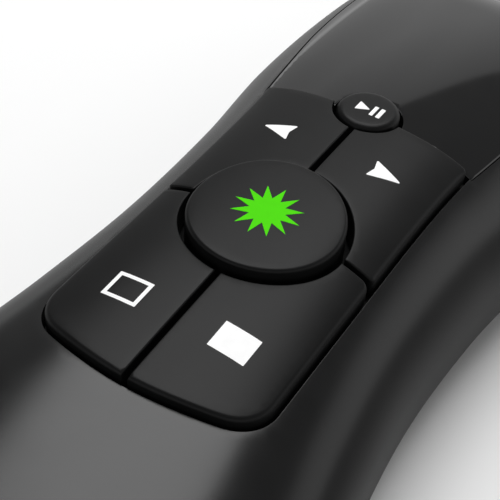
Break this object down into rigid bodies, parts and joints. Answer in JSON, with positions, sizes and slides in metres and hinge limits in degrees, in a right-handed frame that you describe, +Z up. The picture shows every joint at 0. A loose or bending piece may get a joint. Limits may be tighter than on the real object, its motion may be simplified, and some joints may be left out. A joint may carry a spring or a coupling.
{
  "type": "wireless presentation clicker",
  "caption": "Hand-held wireless presentation clicker with a waisted body, a crowned keypad around a big round pointer key, a glossy front cover, a sliding battery door and a plug-in receiver.",
  "frame": {"origin": "middle of the footprint on the surface the clicker lies on", "axes": "+Y along the handle towards the beam, +X to the right, +Z up through the keys"},
  "size_m": [0.0462, 0.13, 0.0295],
  "materials": {
    "casing": "satin black moulded plastic",
    "cover": "glossy black moulded plastic",
    "guide": "dull black",
    "keys": "soft matte coating",
    "switch_button": "natural moulded plastic",
    "switch_body": "dull black",
    "board": "solder mask",
    "chip": "moulded epoxy",
    "can": "tinned",
    "capacitor": "fired ceramic",
    "gold": "gold plated",
    "lens": "clear",
    "brass": "turned",
    "tray": "moulded",
    "ring": "dark plated",
    "cell": "printed sleeve",
    "contact": "nickel plated",
    "lead": "insulated wire",
    "foam": "open foam",
    "plug": "folded sheet",
    "screw": "blackened"
  },
  "bodies": {
    "root": {"top_shell": "casing", "bottom_shell": "casing", "front_cover": "cover", "key_guide": "guide", "key_switches": "switch_body", "main_board": "board", "controller_chip": "chip", "radio_chip": "chip", "crystal": "can", "capacitors": "capacitor", "antenna": "gold", "status_led": "switch_button", "status_lens": "lens", "board_screws": "can", "board_connector": "switch_body", "driver_board": "board", "driver_parts": "chip", "power_switch": "can", "laser_barrel": "brass", "laser_lens": "lens", "laser_diode": "gold", "laser_clamp": "tray", "nose_ring": "ring", "laser_window": "lens", "battery_tray": "tray", "battery_left": "cell", "battery_right": "cell", "contact_bridge": "contact", "contact_left": "contact", "contact_right": "contact", "spring_left": "contact", "spring_right": "contact", "battery_leads": "lead", "receiver_dock": "tray", "shell_screws": "screw"},
    "laser": {"laser_key": "keys", "laser_switch_button": "switch_button"},
    "previous": {"previous_key": "keys", "previous_switch_button": "switch_button"},
    "next": {"next_key": "keys", "next_switch_button": "switch_button"},
    "screen_outline": {"screen_outline_key": "keys", "screen_outline_switch_button": "switch_button"},
    "screen_solid": {"screen_solid_key": "keys", "screen_solid_switch_button": "switch_button"},
    "play": {"play_key": "keys", "play_switch_button": "switch_button"},
    "door": {"battery_door": "casing", "door_pad": "foam"},
    "receiver": {"receiver_grip": "casing", "receiver_plug": "plug", "receiver_tongue": "tray", "receiver_contacts": "gold"},
    "power": {"power_slider": "keys", "power_lever": "switch_button"}
  },
  "joints": [
    {"name": "laser_press", "type": "slide", "parent": "root", "child": "laser", "axis": [0, 0, -1], "range_m": [0, 0.0006], "stiffness_N_per_m": 400, "springref_m": -0.0008},
    {"name": "previous_press", "type": "slide", "parent": "root", "child": "previous", "axis": [0, 0, -1], "range_m": [0, 0.0006], "stiffness_N_per_m": 400, "springref_m": -0.0008},
    {"name": "next_press", "type": "slide", "parent": "root", "child": "next", "axis": [0, 0, -1], "range_m": [0, 0.0006], "stiffness_N_per_m": 400, "springref_m": -0.0008},
    {"name": "screen_outline_press", "type": "slide", "parent": "root", "child": "screen_outline", "axis": [0, 0, -1], "range_m": [0, 0.0006], "stiffness_N_per_m": 400, "springref_m": -0.0008},
    {"name": "screen_solid_press", "type": "slide", "parent": "root", "child": "screen_solid", "axis": [0, 0, -1], "range_m": [0, 0.0006], "stiffness_N_per_m": 400, "springref_m": -0.0008},
    {"name": "play_press", "type": "slide", "parent": "root", "child": "play", "axis": [0, 0, -1], "range_m": [0, 0.0006], "stiffness_N_per_m": 400, "springref_m": -0.0008},
    {"name": "door_slide", "type": "slide", "parent": "root", "child": "door", "axis": [0, -1, 0], "range_m": [0, 0.073]},
    {"name": "receiver_slide", "type": "slide", "parent": "root", "child": "receiver", "axis": [0, -1, 0], "range_m": [0, 0.02]},
    {"name": "power_slide", "type": "slide", "parent": "root", "child": "power", "axis": [0, 1, 0], "range_m": [0, 0.003]}
  ]
}
